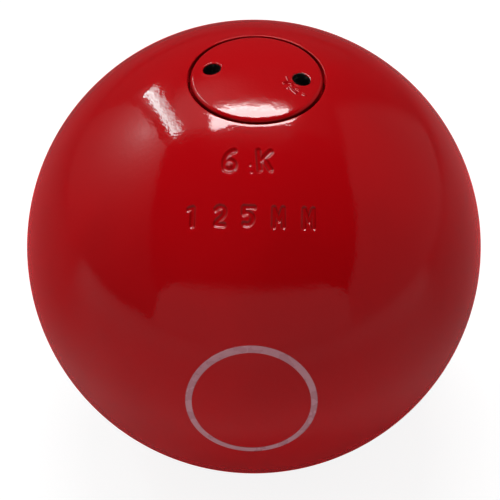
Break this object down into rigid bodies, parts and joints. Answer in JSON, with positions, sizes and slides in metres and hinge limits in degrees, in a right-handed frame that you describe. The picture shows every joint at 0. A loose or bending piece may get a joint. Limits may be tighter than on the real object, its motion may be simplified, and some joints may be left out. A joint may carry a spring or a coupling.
{
  "type": "shot put",
  "caption": "Red painted cast-iron ball for the shot event, with a round screw plug that closes its filled chamber.",
  "frame": {"origin": "centre of the ball", "axes": "+Z along the screw plug's axis, out of the ball; -Y towards the side that carries the punched marks and the printed ring"},
  "size_m": [0.125, 0.125, 0.1251],
  "materials": {
    "red_paint": "gloss red paint with a light orange peel over cast iron",
    "fibre": "pressed red fibre",
    "steel": "bright stamped steel",
    "felt": "grey wool felt",
    "resin": "cast amber resin",
    "lead": "dull poured lead"
  },
  "bodies": {
    "ball": {"shell": "red_paint", "lead_ballast": "lead", "resin_fill": "resin", "neck_wad": "felt", "trim_disc": "steel"},
    "washer": {"plug_washer": "fibre"},
    "plug": {"screw_plug": "red_paint"}
  },
  "joints": [
    {"name": "plug_rise", "type": "slide", "parent": "ball", "child": "washer", "axis": [0, 0, 1], "range_m": [0, 0.009]},
    {"name": "plug_turn", "type": "hinge", "parent": "washer", "child": "plug", "pos_m": [0, 0, 0.053], "axis": [0, 0, 1], "range_deg": [0, 1620]}
  ],
  "couplings": [
    {"joint": "plug_turn", "follows": "plug_rise", "rad_per_m": 3141.6}
  ]
}
